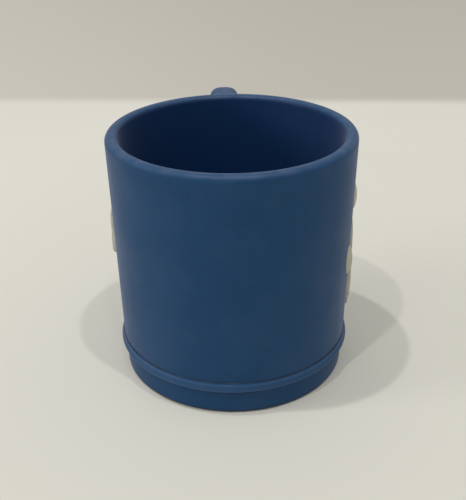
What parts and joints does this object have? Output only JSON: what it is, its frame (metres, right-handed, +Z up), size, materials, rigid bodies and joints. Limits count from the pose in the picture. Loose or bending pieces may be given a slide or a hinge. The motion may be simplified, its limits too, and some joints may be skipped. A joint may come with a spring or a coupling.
{
  "type": "paw washer cup",
  "caption": "Mug-shaped paw washer: tapered cup with side handle, raised paw and bone badges, lift-out bristled insert and unscrewing base.",
  "frame": {"origin": "centre of the underside, on the surface that the cup rests on", "axes": "+Z up along the cup's axis, +Y out through the handle, +X out through the paw badge"},
  "size_m": [0.0907, 0.1209, 0.0926],
  "materials": {
    "cup_shell": "matte soft-touch coating with fine grain",
    "base_shell": "matte soft-touch coating with fine grain",
    "badge_cream": "matte moulded rubber",
    "seal_rubber": "matte",
    "foot_rubber": "matte",
    "brush_silicone": "satin silicone"
  },
  "bodies": {
    "cup": {"cup_body": "cup_shell", "handle": "cup_shell", "paw_pad": "badge_cream", "paw_toe_1": "badge_cream", "paw_toe_2": "badge_cream", "paw_toe_3": "badge_cream", "paw_toe_4": "badge_cream", "bone_badge": "badge_cream"},
    "seal": {"base_seal": "seal_rubber"},
    "base": {"base_cap": "base_shell", "foot_pad": "foot_rubber"},
    "brush": {"brush_sleeve": "brush_silicone", "bristle_row_1": "brush_silicone", "bristle_row_2": "brush_silicone", "bristle_row_3": "brush_silicone", "bristle_row_4": "brush_silicone", "bristle_row_5": "brush_silicone", "bristle_row_6": "brush_silicone"}
  },
  "joints": [
    {"name": "base_drop", "type": "slide", "parent": "cup", "child": "seal", "axis": [0, 0, -1], "range_m": [0, 0.009]},
    {"name": "base_twist", "type": "hinge", "parent": "seal", "child": "base", "pos_m": [0, 0, 0.0096], "axis": [0, 0, -1], "range_deg": [0, 180]},
    {"name": "brush_lift", "type": "slide", "parent": "cup", "child": "brush", "axis": [0, 0, 1], "range_m": [0, 0.078]}
  ],
  "couplings": [
    {"joint": "base_drop", "follows": "base_twist", "m_per_rad": 0.0028648}
  ]
}
